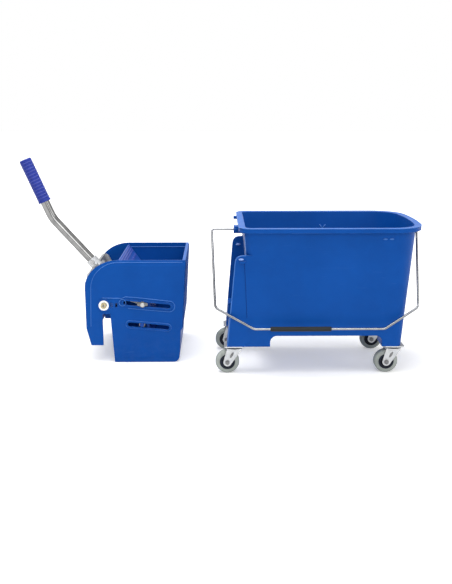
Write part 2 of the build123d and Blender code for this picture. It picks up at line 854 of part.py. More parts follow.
with BuildPart() as lever_socket:
    with BuildSketch(wringer_side()):
        with Locations(lever_tip):
            Rectangle(cross_bar_height, cross_bar_thickness, rotation=lever_arm_angle)
    extrude(amount=lever_arm_inside, both=True)
    with BuildSketch(wringer_side()):
        with Locations(lever_tip):
            with Locations(Rotation(0, 0, foot_plate_angle)):
                with Locations((-foot_plate_shift, 0)):
                    Rectangle(foot_plate_length, foot_plate_thickness)
    extrude(amount=foot_plate_width / 2, both=True)
    with BuildSketch(lever_plane(0)):
        Circle(socket_radius)
    extrude(amount=socket_length)
    with BuildSketch(lever_plane(socket_floor)):
        Circle(lever_tube_radius)
    extrude(amount=socket_length, mode=Mode.SUBTRACT)
    with BuildSketch(wringer_side()):
        with Locations(bolt_point):
            Circle(socket_bolt_diameter / 2)
    extrude(amount=socket_radius, both=True, mode=Mode.SUBTRACT)

grip_angle = radians(lever_tube_angle - lever_tube_bend)
tube_corner = up_lever(lever_tube_lower)
with BuildPart() as lever_tube:
    with BuildLine(wringer_side()) as tube_path:
        FilletPolyline(
            up_lever(socket_floor),
            tube_corner,
            (
                tube_corner[0] + lever_tube_upper * cos(grip_angle),
                tube_corner[1] + lever_tube_upper * sin(grip_angle),
            ),
            radius=lever_tube_bend_radius,
        )
    with BuildSketch(lever_plane(socket_floor)):
        Circle(lever_tube_radius)
        Circle(lever_tube_radius - lever_tube_wall, mode=Mode.SUBTRACT)
    sweep()
    with BuildSketch(wringer_side()):
        with Locations(bolt_point):
            Circle(socket_bolt_diameter / 2)
    extrude(amount=socket_radius, both=True, mode=Mode.SUBTRACT)

with BuildPart() as lever_grip:
    with BuildSketch(Plane(tube_path.line @ 1, x_dir=(0, 1, 0), z_dir=tube_path.line % 1)):
        Circle(lever_grip_diameter / 2)
    extrude(amount=lever_grip_cap)
    fillet(lever_grip.edges().group_by(Axis.Z)[-1], lever_grip_round)
    with BuildSketch(Plane(tube_path.line @ 1, x_dir=(0, 1, 0), z_dir=tube_path.line % 1)):
        Circle(lever_grip_diameter / 2)
        Circle(lever_tube_radius, mode=Mode.SUBTRACT)
    extrude(amount=lever_grip_cap - lever_grip_length)
    with BuildSketch(
        Plane(
            tube_path.line @ 1 + (lever_grip_cap - lever_grip_length) * (tube_path.line % 1),
            x_dir=(0, 1, 0),
            z_dir=tube_path.line % 1,
        )
    ):
        Circle(lever_grip_flange / 2)
        Circle(lever_tube_radius, mode=Mode.SUBTRACT)
    extrude(amount=lever_grip_flange_length)

# Pivot screws: each goes in from outside, through its wall and arm, to a nut inside
pivot_washer_outside = housing_half + pivot_boss_rise + pivot_washer_thickness
pivot_nut_outside = lever_arm_inside - body_gap
pivot_nut_inside = pivot_nut_outside - pivot_nut_height


def pivot_screw(outward):
    """Round-head screw with a cross slot; outward is -1 at the front and 1 at the back."""
    with BuildPart() as screw:
        with BuildSketch(wringer_side(outward * pivot_washer_outside)):
            with Locations(pivot_point):
                Circle(pivot_screw_diameter / 2)
        extrude(amount=outward * (pivot_washer_outside - pivot_nut_inside))
        with BuildSketch(wringer_side(outward * (pivot_washer_outside + pivot_screw_head_height))):
            with Locations(pivot_point):
                Circle(pivot_screw_head / 2)
        extrude(amount=outward * pivot_screw_head_height)
        with BuildSketch(wringer_side(outward * (pivot_washer_outside + pivot_screw_head_height))):
            with Locations(pivot_point):
                Rectangle(pivot_screw_head, pivot_screw_slot)
                Rectangle(pivot_screw_slot, pivot_screw_head)
        extrude(amount=outward * pivot_screw_slot_depth, mode=Mode.SUBTRACT)
    return screw.part


def pivot_washer(outward):
    with BuildPart() as washer:
        with BuildSketch(wringer_side(outward * pivot_washer_outside)):
            with Locations(pivot_point):
                Circle(pivot_washer_diameter / 2)
                Circle(pivot_screw_diameter / 2, mode=Mode.SUBTRACT)
        extrude(amount=outward * pivot_washer_thickness)
    return washer.part


def pivot_nut(outward):
    with BuildPart() as nut:
        with BuildSketch(wringer_side(outward * pivot_nut_outside)):
            with Locations(pivot_point):
                RegularPolygon(pivot_nut_size / 2, 6)
                Circle(pivot_screw_diameter / 2, mode=Mode.SUBTRACT)
        extrude(amount=outward * pivot_nut_height)
    return nut.part


pieces = {
    "tub": tub.part,
    "bail_wire": bail_wire.part,
    "bail_grip": bail_grip.part,
    "wringer_housing": housing.part,
    "press_plate": press_plate.part,
    "guide_pin_upper": guide_pin(guide_pin_points[0], guide_pin_reach),
    "guide_pin_lower": guide_pin(guide_pin_points[1], housing_half),
    "guide_clips_upper": guide_clips(guide_pin_points[0], guide_clip_inside, guide_clip_wing),
    "guide_clips_lower": guide_clips(guide_pin_points[1], guide_ring_inside, guide_clip_diameter),
    "push_bar_front": push_bar(-push_bar_reach),
    "push_bar_back": push_bar(push_bar_reach + push_bar_steel),
    "drive_pin": drive_pin.part,
    "lever_arm_front": lever_arm(-lever_arm_inside),
    "lever_arm_back": lever_arm(lever_arm_outside),
    "lever_socket": lever_socket.part,
    "socket_bolt": socket_bolt.part,
    "lever_tube": lever_tube.part,
    "lever_grip": lever_grip.part,
}
for side, outward in (("front", -1), ("back", 1)):
    pieces[f"pivot_screw_{side}"] = pivot_screw(outward)
    pieces[f"pivot_washer_{side}"] = pivot_washer(outward)
    pieces[f"pivot_nut_{side}"] = pivot_nut(outward)
for place, (x, y) in castor_places.items():
    for name, make in castor_makers.items():
        pieces[f"{name}_{place}"] = make(x, y)

os.makedirs("parts", exist_ok=True)
for name, piece in pieces.items():
    piece.label = name
    export_step(piece, f"parts/{name}.step")
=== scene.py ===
import json
from math import cos, pi, radians, sin

import bmesh
import bpy
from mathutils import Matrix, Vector
from mathutils.bvhtree import BVHTree
from mathutils.geometry import convex_hull_2d


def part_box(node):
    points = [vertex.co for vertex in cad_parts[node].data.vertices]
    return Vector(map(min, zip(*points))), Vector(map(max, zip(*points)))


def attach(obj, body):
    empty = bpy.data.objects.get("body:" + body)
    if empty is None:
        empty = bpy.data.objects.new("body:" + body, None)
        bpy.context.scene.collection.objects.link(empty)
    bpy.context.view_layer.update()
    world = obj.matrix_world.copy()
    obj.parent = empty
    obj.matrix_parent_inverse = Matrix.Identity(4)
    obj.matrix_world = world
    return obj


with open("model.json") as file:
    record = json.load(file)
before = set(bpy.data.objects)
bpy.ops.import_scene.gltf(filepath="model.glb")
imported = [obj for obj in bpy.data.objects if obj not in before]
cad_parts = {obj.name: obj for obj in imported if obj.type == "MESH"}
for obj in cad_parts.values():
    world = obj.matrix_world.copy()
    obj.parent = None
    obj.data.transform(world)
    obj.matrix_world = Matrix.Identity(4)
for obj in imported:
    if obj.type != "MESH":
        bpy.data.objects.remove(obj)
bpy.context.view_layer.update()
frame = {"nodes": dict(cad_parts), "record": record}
cad = frame["nodes"]

castor_places = ("front_left", "front_right", "back_left", "back_right")
sides = (("front", -1), ("back", 1))

# Sockets of a Mix node that blends colours
mix_share, mix_first, mix_second, mix_result = 0, 6, 7, 2


# Shader helpers

def new_node(tree, kind, inputs=None, **settings):
    """One node, with its settings, and each input set to a value or wired to a socket."""
    node = tree.nodes.new("ShaderNode" + kind)
    for name, value in settings.items():
        setattr(node, name, value)
    for name, value in (inputs or {}).items():
        if isinstance(value, bpy.types.NodeSocket):
            tree.links.new(value, node.inputs[name])
        else:
            node.inputs[name].default_value = value
    return node


def noise(tree, vector, scale, detail=3.0, roughness=0.55):
    """Soft noise, about 0.5 in the middle of its range."""
    return new_node(
        tree, "TexNoise", {"Vector": vector, "Scale": scale, "Detail": detail, "Roughness": roughness}
    ).outputs["Fac"]


def spread(tree, value, low, high, to_low=0.0, to_high=1.0):
    """The value's range from low to high, opened out to another range."""
    return new_node(
        tree,
        "MapRange",
        {"Value": value, "From Min": low, "From Max": high, "To Min": to_low, "To Max": to_high},
    ).outputs["Result"]


def maths(tree, operation, first, second):
    """One sum on two numbers or sockets."""
    return new_node(tree, "Math", {0: first, 1: second}, operation=operation).outputs["Value"]


def times(tree, first, second):
    return maths(tree, "MULTIPLY", first, second)


def larger(tree, first, second):
    return maths(tree, "MAXIMUM", first, second)


def blend_colour(tree, share, first, second):
    """The first colour where the share is 0 and the second where it is 1; either may be a socket."""
    mix = new_node(tree, "Mix", data_type="RGBA")
    tree.links.new(share, mix.inputs[mix_share])
    for socket, colour in ((mix.inputs[mix_first], first), (mix.inputs[mix_second], second)):
        if isinstance(colour, bpy.types.NodeSocket):
            tree.links.new(colour, socket)
        else:
            socket.default_value = (*colour, 1)
    return mix.outputs[mix_result]


def coordinate(tree, vector, axis):
    """One coordinate of a vector."""
    return new_node(tree, "SeparateXYZ", {0: vector}).outputs[axis]


def face_normal(tree):
    return new_node(tree, "NewGeometry").outputs["Normal"]


def object_place(tree):
    return new_node(tree, "TexCoord").outputs["Object"]


def stretched(tree, scale, turn=(0, 0, 0)):
    """Object coordinates, turned and stretched."""
    return new_node(
        tree, "Mapping", {"Vector": object_place(tree), "Scale": scale, "Rotation": turn}
    ).outputs["Vector"]


def start_group(name, inputs, outputs):
    """A shader group with named number sockets; an output called Normal is a vector."""
    tree = bpy.data.node_groups.new(name, "ShaderNodeTree")
    for socket, value in inputs.items():
        given = tree.interface.new_socket(socket, in_out="INPUT", socket_type="NodeSocketFloat")
        given.default_value = value
    for socket in outputs:
        kind = "NodeSocketVector" if socket == "Normal" else "NodeSocketFloat"
        tree.interface.new_socket(socket, in_out="OUTPUT", socket_type=kind)
    return tree, tree.nodes.new("NodeGroupInput").outputs


def end_group(tree, **outputs):
    """Wires what a group has made to its outputs."""
    target = tree.nodes.new("NodeGroupOutput")
    for name, socket in outputs.items():
        tree.links.new(socket, target.inputs[name])
    return tree


# Effects that the finishes share

def make_moulded_skin():
    """Slow drift of tone and a fine moulded grain."""
    slow_scale, cloud_scale, grain_scale = 7.0, 48.0, 1100.0
    slow_share, cloud_share = 0.7, 0.3
    tree, given = start_group("moulded_skin", {"Scale": 1.0}, ["Tone", "Cloud", "Grain"])
    place = new_node(
        tree, "VectorMath", {0: object_place(tree), "Scale": given["Scale"]}, operation="SCALE"
    ).outputs["Vector"]
    slow = noise(tree, place, slow_scale)
    cloud = noise(tree, place, cloud_scale, detail=4.0)
    grain = noise(tree, place, grain_scale, detail=2.0, roughness=0.7)
    tone = maths(tree, "ADD", times(tree, slow, slow_share), times(tree, cloud, cloud_share))
    return end_group(
        tree,
        Tone=spread(tree, tone, 0.34, 0.66),
        Cloud=spread(tree, cloud, 0.3, 0.7),
        Grain=grain,
    )


def make_worn_edge():
    """Mask of the rubbed edges, and the normal with the edges rounded off."""
    unworn, fully_worn = 0.985, 0.8  # how far the rounded normal still agrees with the flat one
    break_scale = 70.0
    tree, given = start_group("worn_edge", {"Radius": 0.001}, ["Edge", "Normal"])
    bevel = new_node(tree, "Bevel", {"Radius": given["Radius"]}, samples=4)
    flat = face_normal(tree)
    along = new_node(tree, "VectorMath", {0: bevel.outputs["Normal"], 1: flat}, operation="DOT_PRODUCT")
    edge = spread(tree, along.outputs["Value"], unworn, fully_worn)
    broken = spread(tree, noise(tree, object_place(tree), break_scale, detail=4.0), 0.4, 0.62)
    return end_group(
        tree,
        Edge=times(tree, edge, broken),
        Normal=bevel.outputs["Normal"],
    )


def make_scuffs():
    """Masks of fine scratches both ways and of dulled, handled patches."""
    long_stretch, long_turn = (18, 700, 420), (0.5, 0.3, 0.2)
    cross_stretch, cross_turn = (520, 24, 600), (0.2, 0.6, 0.9)
    patch_scale, scuff_scale = 11.0, 26.0
    tree, _ = start_group("scuffs", {}, ["Scratch", "Scuff"])
    long_noise = noise(tree, stretched(tree, long_stretch, long_turn), 1.0, detail=1.0)
    long_scratches = spread(tree, long_noise, 0.7, 0.76)
    cross_noise = noise(tree, stretched(tree, cross_stretch, cross_turn), 1.0, detail=1.0)
    cross_scratches = spread(tree, cross_noise, 0.71, 0.77)
    where = spread(tree, noise(tree, object_place(tree), patch_scale), 0.46, 0.66)
    scuff_noise = noise(tree, object_place(tree), scuff_scale, detail=5.0, roughness=0.65)
    return end_group(
        tree,
        Scratch=times(tree, larger(tree, long_scratches, cross_scratches), where),
        Scuff=spread(tree, scuff_noise, 0.5, 0.72),
    )


def make_dust_and_top_sheen():
    """Masks of dust, on faces that look up and near the floor, and of a painted sheen on high faces that
    look up, such as the tops of rims.
    """
    lying_share, low_share = 0.6, 0.7
    splash_height = 0.11
    rims_start, rims_full = 0.2, 0.22
    patch_scale, sheen_scale = 90.0, 40.0
    tree, _ = start_group("dust_and_top_sheen", {}, ["Dust", "Tops"])
    up = coordinate(tree, face_normal(tree), "Z")
    height = coordinate(tree, object_place(tree), "Z")
    lying = times(tree, spread(tree, up, 0.5, 1.0), lying_share)
    low = spread(tree, height, splash_height, 0.0, 0.0, low_share)
    patch_noise = noise(tree, object_place(tree), patch_scale, detail=5.0, roughness=0.7)
    patchy = spread(tree, patch_noise, 0.42, 0.7)
    sheen_breakup = spread(tree, noise(tree, object_place(tree), sheen_scale), 0.2, 0.6, 0.7, 1.0)
    high = times(tree, spread(tree, height, rims_start, rims_full), sheen_breakup)
    return end_group(
        tree,
        Dust=times(tree, larger(tree, lying, low), patchy),
        # painted sheen: high faces that look up turn paler, as if the top lamp lit them
        Tops=times(tree, spread(tree, up, 0.55, 0.95), high),
    )


def make_plating():
    """Crystal tone, cloudy dulling and fine drawn lines of plated steel."""
    cloud_scale = 65.0
    line_stretch = (90, 1500, 1500)
    tree, given = start_group("plating", {"Crystal": 260.0}, ["Tone", "Cloud", "Lines"])
    cells = new_node(
        tree, "TexVoronoi", {"Vector": object_place(tree), "Scale": given["Crystal"]}
    ).outputs["Color"]
    return end_group(
        tree,
        Tone=coordinate(tree, cells, "X"),
        Cloud=spread(tree, noise(tree, object_place(tree), cloud_scale, detail=5.0), 0.35, 0.7),
        Lines=noise(tree, stretched(tree, line_stretch), 1.0, detail=2.0),
    )


groups = {
    "skin": make_moulded_skin(),
    "edge": make_worn_edge(),
    "scuffs": make_scuffs(),
    # this group gives dust and also the painted sheen on high tops
    "dust": make_dust_and_top_sheen(),
    "plating": make_plating(),
}


# Finishes

def use(tree, name, **inputs):
    """Places a shared effect in a material, with its own values."""
    node = tree.nodes.new("ShaderNodeGroup")
    node.node_tree = groups[name]
    for socket, value in inputs.items():
        node.inputs[socket].default_value = value
    return node.outputs


def start_material(name):
    material = bpy.data.materials.new(name)
    material.use_nodes = True
    tree = material.node_tree
    return material, tree, tree.nodes["Principled BSDF"]


def bump(tree, height, normal, strength, distance):
    return new_node(
        tree, "Bump", {"Height": height, "Normal": normal, "Strength": strength, "Distance": distance}
    ).outputs["Normal"]


def finish_shader(tree, shader, colour, roughness, normal):
    tree.links.new(colour, shader.inputs["Base Color"])
    tree.links.new(roughness, shader.inputs["Roughness"])
    tree.links.new(normal, shader.inputs["Normal"])


def plastic(name, deep, main, worn_and_sheen, rough, edge=0.0016, grain=0.25):
    """Moulded plastic: drifting tone, pale rubbed edges, a painted sheen on high tops, scratches, dust and
    a fine grain.
    """
    edge_share, top_sheen_share, scratch_share, scuff_share, dust_share = 0.45, 0.4, 0.14, 0.5, 0.03
    dust_colour = (0.42, 0.41, 0.38)
    grain_depth = 0.0002
    material, tree, shader = start_material(name)
    skin = use(tree, "skin")
    edges = use(tree, "edge", Radius=edge)
    marks = use(tree, "scuffs")
    dust_and_sheen = use(tree, "dust")
    dust = dust_and_sheen["Dust"]
    colour = blend_colour(tree, skin["Tone"], deep, main)
    rubbed_edges = times(tree, edges["Edge"], edge_share)
    painted_top_sheen = times(tree, dust_and_sheen["Tops"], top_sheen_share)
    # edges turn paler by wear, and high tops by a painted sheen
    colour = blend_colour(tree, larger(tree, rubbed_edges, painted_top_sheen), colour, worn_and_sheen)
    colour = blend_colour(tree, times(tree, marks["Scratch"], scratch_share), colour, worn_and_sheen)
    colour = blend_colour(tree, times(tree, dust, dust_share), colour, dust_colour)
    dull = larger(tree, times(tree, marks["Scuff"], scuff_share), dust)
    roughness = spread(tree, maths(tree, "ADD", skin["Cloud"], dull), 0.0, 2.0, *rough)
    height = maths(tree, "SUBTRACT", skin["Grain"], marks["Scratch"])
    normal = bump(tree, height, edges["Normal"], grain, grain_depth)
    finish_shader(tree, shader, colour, roughness, normal)
    shader.inputs["Specular IOR Level"].default_value = 0.08
    return material


def metal(name, dark, bright, rough, crystal, tone_share):
    """Plated steel: crystal and cloud tone, bright edges, fine drawn lines and dust low down."""
    edge_share, scuff_share, dust_share = 0.5, 0.6, 0.1
    edge_colour, dust_colour = (0.95, 0.95, 0.95), (0.3, 0.28, 0.25)
    edge_radius = 0.0006
    line_strength, line_depth = 0.1, 0.0001
    material, tree, shader = start_material(name)
    plate = use(tree, "plating", Crystal=crystal)
    edges = use(tree, "edge", Radius=edge_radius)
    marks = use(tree, "scuffs")
    dust = use(tree, "dust")["Dust"]
    crystal_tone = times(tree, plate["Tone"], tone_share)
    cloud_tone = times(tree, plate["Cloud"], 1 - tone_share)
    colour = blend_colour(tree, maths(tree, "ADD", crystal_tone, cloud_tone), dark, bright)
    colour = blend_colour(tree, times(tree, edges["Edge"], edge_share), colour, edge_colour)
    colour = blend_colour(tree, times(tree, dust, dust_share), colour, dust_colour)
    dull = larger(tree, times(tree, marks["Scuff"], scuff_share), dust)
    roughness = spread(tree, maths(tree, "ADD", plate["Cloud"], dull), 0.0, 2.0, *rough)
    height = maths(tree, "SUBTRACT", plate["Lines"], marks["Scratch"])
    normal = bump(tree, height, edges["Normal"], line_strength, line_depth)
    finish_shader(tree, shader, colour, roughness, normal)
    shader.inputs["Metallic"].default_value = 1.0
    shader.inputs["Specular Tint"].default_value = (0.35, 0.35, 0.36, 1)
    return material


# Each plastic: deep tone, main tone, worn tone (also the painted sheen on tops), roughness from and
# to, then where they differ from the usual the width of its worn edges and the strength of its grain
plastics = {
    "bucket_plastic": ((0.002, 0.062, 0.3), (0.0035, 0.076, 0.355), (0.12, 0.25, 0.62), (0.34, 0.62)),
    "press_plastic": ((0.013, 0.066, 0.33), (0.022, 0.086, 0.4), (0.2, 0.27, 0.64), (0.36, 0.64)),
    "grip_plastic": (
        (0.024, 0.04, 0.26), (0.036, 0.058, 0.34), (0.15, 0.19, 0.55), (0.3, 0.6), 0.001
    ),
    # a paler violet; on the press it is painted sheen
    "grip_ring_and_sheen_plastic": (
        (0.05, 0.065, 0.31), (0.075, 0.095, 0.39), (0.2, 0.24, 0.6), (0.3, 0.6), 0.001
    ),
    # a paler blue painted as highlight lines on beads, pads and marks
    "painted_highlight_plastic": (
        (0.03, 0.13, 0.44), (0.07, 0.2, 0.56), (0.2, 0.36, 0.7), (0.3, 0.55), 0.0006
    ),
    # a pale blue painted as highlights on the ledge tops
    "painted_bright_highlight_plastic": (
        (0.24, 0.38, 0.76), (0.34, 0.48, 0.86), (0.5, 0.6, 0.9), (0.2, 0.4), 0.0006
    ),
    "shaded_plastic": (
        (0.0015, 0.03, 0.16), (0.0025, 0.042, 0.21), (0.01, 0.08, 0.3), (0.4, 0.7), 0.0006
    ),
    "black_sleeve": (
        (0.02, 0.021, 0.022), (0.03, 0.032, 0.033), (0.1, 0.1, 0.1), (0.35, 0.66), 0.0008
    ),
    "wheel_plastic": (
        (0.012, 0.015, 0.024), (0.022, 0.027, 0.04), (0.12, 0.12, 0.13), (0.4, 0.7), 0.0006
    ),
    "grey_tyre": (
        (0.285, 0.31, 0.29), (0.385, 0.415, 0.39), (0.5, 0.52, 0.5), (0.55, 0.85), 0.0012, 0.5
    ),
}
# Each metal: dark tone, bright tone, roughness from and to, fineness and share of its crystals
metals = {
    "chromed_wire": ((0.2, 0.205, 0.215), (0.3, 0.305, 0.315), (0.04, 0.14), 900.0, 0.2),
    "chromed_tube": ((0.18, 0.18, 0.18), (0.28, 0.28, 0.275), (0.03, 0.12), 900.0, 0.2),
    "bright_zinc": ((0.42, 0.43, 0.44), (0.6, 0.61, 0.62), (0.42, 0.68), 240.0, 0.5),
    "fastener_steel": ((0.34, 0.34, 0.345), (0.5, 0.5, 0.495), (0.25, 0.55), 500.0, 0.3),
    # also painted as the shade along the fork ridges and in the screw's driver cross
    "dull_steel_and_shade": ((0.12, 0.12, 0.125), (0.22, 0.22, 0.22), (0.3, 0.6), 500.0, 0.4),
    "white_zinc": ((0.66, 0.66, 0.66), (0.8, 0.8, 0.79), (0.3, 0.5), 500.0, 0.3),
    "yellow_zinc": ((0.34, 0.28, 0.16), (0.5, 0.43, 0.27), (0.25, 0.5), 500.0, 0.3),
}
materials = {name: plastic(name, *values) for name, values in plastics.items()}
materials.update({name: metal(name, *values) for name, values in metals.items()})

# Nodes whose finish differs from their slot's
finish_of_node = {"axle_bolt_" + place: "dull_steel_and_shade" for place in castor_places}
for name, _ in sides:
    finish_of_node["pivot_screw_" + name] = "yellow_zinc"
    finish_of_node["pivot_washer_" + name] = "white_zinc"
for name in ("upper", "lower"):
    finish_of_node["guide_clips_" + name] = "dull_steel_and_shade"

slot_of_node = {part["node"]: part["material_slot"] for part in frame["record"]["subparts"]}
for name, node in cad.items():
    node.data.materials.clear()
    node.data.materials.append(materials[finish_of_node.get(name, slot_of_node[name])])


# Mesh helpers

def add_piece(name, mesh_data, body, slot, finish=None):
    """Makes the built mesh a piece that moves with a body; its finish may differ from its slot's."""
    bmesh.ops.recalc_face_normals(mesh_data, faces=mesh_data.faces)
    mesh = bpy.data.meshes.new(name)
    mesh_data.to_mesh(mesh)
    mesh_data.free()
    mesh.materials.append(materials[finish or slot])
    mesh.shade_smooth()
    piece = bpy.data.objects.new(name, mesh)
    bpy.context.scene.collection.objects.link(piece)
    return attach(piece, body)


def skin_rings(mesh_data, rings, closed=False):
    """Joins rings of points into a skin, with fan caps unless it closes on itself."""
    loops = [[mesh_data.verts.new(point) for point in ring] for ring in rings]
    following = loops[1:] + loops[:1] if closed else loops[1:]
    for one, two in zip(loops, following):
        for k in range(len(one)):
            n = (k + 1) % len(one)
            mesh_data.faces.new((one[k], one[n], two[n], two[k]))
    if not closed:
        for loop in (loops[0], loops[-1]):
            middle = mesh_data.verts.new(sum((v.co for v in loop), Vector()) / len(loop))
            for k in range(len(loop)):
                mesh_data.faces.new((loop[k], loop[(k + 1) % len(loop)], middle))


def circle_points(middle, side, across, radius, steps):
    """Points round a circle that two square directions span."""
    turns = [2 * pi * k / steps for k in range(steps)]
    return [middle + radius * (cos(turn) * side + sin(turn) * across) for turn in turns]


def add_bead(mesh_data, points, radius, sides_round=10, closed=False):
    """A round bead along a path of points."""
    points = [Vector(point) for point in points]
    count = len(points)
    rings = []
    side = None
    for k, point in enumerate(points):
        ahead = points[(k + 1) % count] if closed or k < count - 1 else point
        behind = points[k - 1] if closed or k > 0 else point
        along = (ahead - behind).normalized()
        if side is None:
            side = along.orthogonal()
        side = (side - along * side.dot(along)).normalized()
        rings.append(circle_points(point, side, along.cross(side), radius, sides_round))
    skin_rings(mesh_data, rings, closed)


def add_ring(mesh_data, middle, axis, radius, thick, steps=48):
    """A round bead bent into a ring about an axis."""
    axis = Vector(axis).normalized()
    side = axis.orthogonal().normalized()
    path = circle_points(Vector(middle), side, axis.cross(side), radius, steps)
    add_bead(mesh_data, path, thick, sides_round=8, closed=True)


def add_pad(mesh_data, middle, out, along, half_length, half_width, rise, steps=20):
    """A low rounded pad on a face: out is the face's outward way and along its long way."""
    levels = 6
    sunk = 0.4  # how far its foot lies under the face, as a share of its rise
    fullness, cap = 0.6, 0.05
    middle, out, along = Vector(middle), Vector(out).normalized(), Vector(along).normalized()
    across = out.cross(along)
    rings = []
    for level in range(levels + 1):
        slope = pi / 2 * level / levels
        share = cos(slope) ** fullness if level < levels else cap
        lift = rise * (sin(slope) * (1 + sunk) - sunk)
        rings.append(
            [
                middle
                + out * lift
                + along * (half_length * share * cos(2 * pi * k / steps))
                + across * (half_width * share * sin(2 * pi * k / steps))
                for k in range(steps)
            ]
        )
    skin_rings(mesh_data, rings)


def run_points(start, run, steps, first=0):
    """Even points (x, z) from a start along a run, from the first step on."""
    return [
        (start[0] + run[0] * k / steps, start[1] + run[1] * k / steps) for k in range(first, steps + 1)
    ]


def arc_points(middle, radius, start, sweep, steps=12):
    """Points (x, z) round an arc, from a start through a sweep, both in degrees."""
    turns = [radians(start + sweep * k / steps) for k in range(steps + 1)]
    return [(middle[0] + radius * cos(turn), middle[1] + radius * sin(turn)) for turn in turns]


def bend_points(corner, start, end, radius, steps=8):
    """Points round a rounded corner in the XZ plane between two straight runs."""
    corner, start, end = Vector(corner), Vector(start), Vector(end)
    one, two = (start - corner).normalized(), (end - corner).normalized()
    first, last = corner + one * radius, corner + two * radius
    shares = [k / steps for k in range(steps + 1)]
    return [first * (1 - t) ** 2 + corner * 2 * t * (1 - t) + last * t ** 2 for t in shares]


def node_middle(name):
    low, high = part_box(name)
    return (low + high) / 2


def surface(name):
    """A CAD node's surface, for finding points on it."""
    mesh = cad[name].data
    return BVHTree.FromPolygons([v.co for v in mesh.vertices], [f.vertices for f in mesh.polygons])


def on_face(skin, x, z, side):
    """Where a line along Y from the front (side -1) or the back first meets a CAD surface."""
    return skin.ray_cast(Vector((x, side, z)), Vector((0, -side, 0)))[0]


# Where the CAD stands. Below, X runs from the tub's middle or from the lever's pivot.

half_rim_length = 0.190
tub_low, tub_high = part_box("tub")
bucket_x = tub_high.x - half_rim_length
bucket_y = (tub_low.y + tub_high.y) / 2
rim_z = tub_high.z
half_wall_width = 0.126
wall_lean = 0.0875  # inwards, for each metre below the rim
tub_surface = surface("tub")

pivot_boss_rise = 0.002
housing_low, housing_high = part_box("wringer_housing")
housing_y = (housing_low.y + housing_high.y) / 2
housing_half = (housing_high.y - housing_low.y) / 2 - pivot_boss_rise
end_wall_lean = 0.0559  # likewise
slot_fall = 0.091  # down, for each metre towards the end wall
pivot_x = node_middle("pivot_washer_front").x
housing_surface = surface("wringer_housing")


def wall_y(z, side):
    """The front or back face of the tub at a height; side is -1 at the front."""
    return bucket_y + side * (half_wall_width - (rim_z - z) * wall_lean)


# Details of the bucket

def make_cheek_beads():
    """A bead along the free edge of each cheek and on up the corner of the tub, pale as a painted
    highlight line.
    """
    bead_radius, cheek_round, riser_round = 0.0011, 0.0155, 0.005
    foot, corner, inner = (-0.2124, 0, 0.064), (-0.1961, 0, 0.2583), (-0.160, 0, 0.2583)
    turn, top = (-0.1742, 0, 0.2583), (-0.1772, 0, 0.297)
    straight_share, edge_steps = 0.92, 24
    on_cheek = 5  # points of the upper bend that still lie on the cheek
    riser_start, riser_steps = 3, 12
    edge_shares = [straight_share * k / edge_steps for k in range(edge_steps + 1)]
    riser_shares = [k / riser_steps for k in range(riser_start, riser_steps + 1)]
    riser_bend = bend_points(turn, corner, top, riser_round)
    outline = [Vector(foot).lerp(Vector(corner), share) for share in edge_shares]
    outline += bend_points(corner, foot, inner, cheek_round)
    outline += riser_bend[:on_cheek]
    rise = riser_bend[on_cheek:]
    rise += [Vector(turn).lerp(Vector(top), share) for share in riser_shares]
    for name, side in sides:
        path = [(bucket_x + q.x, wall_y(q.z, side), q.z) for q in outline]
        path += [on_face(tub_surface, bucket_x + q.x, q.z, side) for q in rise]
        built = bmesh.new()
        add_bead(built, path, bead_radius)
        add_piece("cheek_bead_" + name, built, "bucket", "bucket_plastic", "painted_highlight_plastic")


def make_cheek_creases():
    """A fine line down each side where the tub's end wall meets it, dark navy as the painted shade of the
    crease there.
    """
    line_radius = 0.0006
    path = run_points(start=(-0.1788, 0.2478), run=(0.0064, -0.122), steps=24)
    for name, side in sides:
        built = bmesh.new()
        add_bead(built, [on_face(tub_surface, bucket_x + x, z, side) for x, z in path], line_radius)
        add_piece("cheek_crease_" + name, built, "bucket", "bucket_plastic", "shaded_plastic")


def make_ledge_caps():
    """Pale pads on the tops of the small ledges near the top of each cheek, inside and out: painted
    highlights.
    """
    ledge_x = bucket_x - 0.1852
    outer_z, inner_z = 0.251, 0.2405
    cheek_thickness = 0.005
    half_length, half_width, rise = 0.0055, 0.0024, 0.0016
    for name, side in sides:
        built = bmesh.new()
        for inward, z, out in ((0.0, outer_z, side), (cheek_thickness, inner_z, -side)):
            middle = (ledge_x, wall_y(z, side) - side * inward, z)
            add_pad(built, middle, (0, out, 0), (1, 0, 0), half_length, half_width, rise)
        add_piece("ledge_caps_" + name, built, "bucket", "bucket_plastic", "painted_bright_highlight_plastic")


def make_rim_bead():
    """A fine bead round the top of the rim, at its outer edge, pale as a painted highlight line."""
    bead_radius, top_band = 0.0007, 0.0004
    top = [v.co for v in cad["tub"].data.vertices if v.co.z > rim_z - top_band]
    edge = [top[k] for k in convex_hull_2d([q.xy for q in top])]
    built = bmesh.new()
    add_bead(built, [(q.x, q.y, rim_z) for q in edge], bead_radius, closed=True)
    add_piece("rim_bead", built, "bucket", "bucket_plastic", "painted_highlight_plastic")


def make_stacking_pads():
    """Small oval pads just under the rim, in pairs, at the round end of each side, in the paler blue of
    painted highlights.
    """
    under_rim = 0.0225
    half_length, half_width, rise = 0.0046, 0.0021, 0.0016
    z = rim_z - under_rim
    for name, side in sides:
        built = bmesh.new()
        for x in (0.1035, 0.1165):
            middle = (bucket_x + x, wall_y(z, side), z)
            add_pad(built, middle, (0, side, 0), (1, 0, 0), half_length, half_width, rise)
        add_piece("stacking_pads_" + name, built, "bucket", "bucket_plastic", "painted_highlight_plastic")


